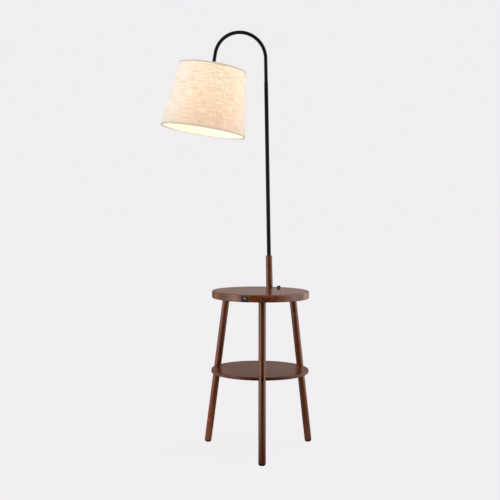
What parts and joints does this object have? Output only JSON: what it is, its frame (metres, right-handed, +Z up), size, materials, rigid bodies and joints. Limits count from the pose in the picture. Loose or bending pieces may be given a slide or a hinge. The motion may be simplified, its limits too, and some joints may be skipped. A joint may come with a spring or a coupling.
{
  "type": "floor lamp with table",
  "caption": "Floor lamp with a round two-tier wooden side table, a curved swivelling arm over it, a tapered linen shade, a dimmer knob and a charging socket in the table's rim.",
  "frame": {"origin": "on the floor, below the centre of the tabletop", "axes": "+Z up, -Y towards the front leg, and -X towards the side that the arm hangs over at rest, where it is turned 7.5 degrees to the front"},
  "size_m": [0.6168, 0.5306, 1.6593],
  "materials": {
    "walnut_board": "walnut-stained board, satin lacquer, fine grain along X",
    "walnut_turned": "walnut-stained turned wood, satin lacquer, grain along the piece",
    "pad_rubber": "matte black rubber",
    "bronzed_steel": "brown bronzed finish, slight sheen",
    "insert_brass": "plain machined brass",
    "black_plastic": "fine-textured black plastic",
    "holder_plastic": "smooth black moulded plastic",
    "terminal_plastic": "off-white plastic",
    "port_steel": "nickel-plated steel",
    "tongue_plastic": "white plastic",
    "board_laminate": "green circuit board laminate",
    "lead_plastic": "white cable sheath",
    "zinc_steel": "zinc-plated steel",
    "black_tube": "satin black powder coat",
    "bush_nylon": "dark self-lubricating nylon",
    "white_wire": "white powder-coated wire",
    "linen": "warm natural linen with a plain slubby weave, lets light through",
    "shade_liner": "white stiff lampshade liner",
    "edge_tape": "folded linen tape",
    "bulb_metal": "plated screw cap",
    "bulb_plastic": "white plastic",
    "bulb_opal": "opal plastic globe that glows when lit"
  },
  "bodies": {
    "table": {"tabletop": "walnut_board", "shelf": "walnut_board", "leg_front": "walnut_turned", "leg_left": "walnut_turned", "leg_right": "walnut_turned", "foot_front": "pad_rubber", "foot_left": "pad_rubber", "foot_right": "pad_rubber", "top_bolts": "bronzed_steel", "leg_inserts": "insert_brass", "shelf_bolts": "bronzed_steel", "shelf_inserts": "insert_brass", "bottom_cover": "black_plastic", "cover_screws": "port_steel", "cord_gland": "black_plastic", "terminal_block": "terminal_plastic", "usb_bezel": "black_plastic", "usb_port": "port_steel", "usb_tongue": "tongue_plastic", "usb_board": "board_laminate", "usb_converter": "black_plastic", "usb_lead": "lead_plastic", "dimmer_body": "black_plastic", "dimmer_nut": "port_steel", "dimmer_lead": "lead_plastic", "stem": "walnut_turned", "stem_rod": "zinc_steel", "rod_nut": "zinc_steel", "rod_washer": "zinc_steel", "lower_tube": "black_tube", "tube_plug": "zinc_steel", "swivel_bush": "bush_nylon", "lead_lower": "lead_plastic"},
    "arm": {"swivel_pin": "zinc_steel", "pole_collar": "black_tube", "arc_tube": "black_tube", "arm_nipple": "zinc_steel", "lead_upper": "lead_plastic", "holder_cap": "holder_plastic", "holder_skirt": "holder_plastic", "holder_shell": "insert_brass", "shade_nut": "holder_plastic", "shade_carrier": "white_wire", "shade_lower_ring": "white_wire", "shade_linen": "linen", "shade_liner": "shade_liner", "shade_edge_top": "edge_tape", "shade_edge_bottom": "edge_tape", "bulb_cap": "bulb_metal", "bulb_body": "bulb_plastic", "bulb_globe": "bulb_opal"},
    "knob": {"dimmer_shaft": "port_steel", "dimmer_knob": "black_plastic"}
  },
  "joints": [
    {"name": "arm_swivel", "type": "hinge", "parent": "table", "child": "arm", "pos_m": [0.02281, 0.14478, 1.44826], "axis": [-0.0244, 0, 0.9997], "range_deg": [-170, 170]},
    {"name": "knob_turn", "type": "hinge", "parent": "table", "child": "knob", "pos_m": [0.07949, 0.12721, 0.627], "axis": [0, 0, 1], "range_deg": [-60, 210]}
  ]
}
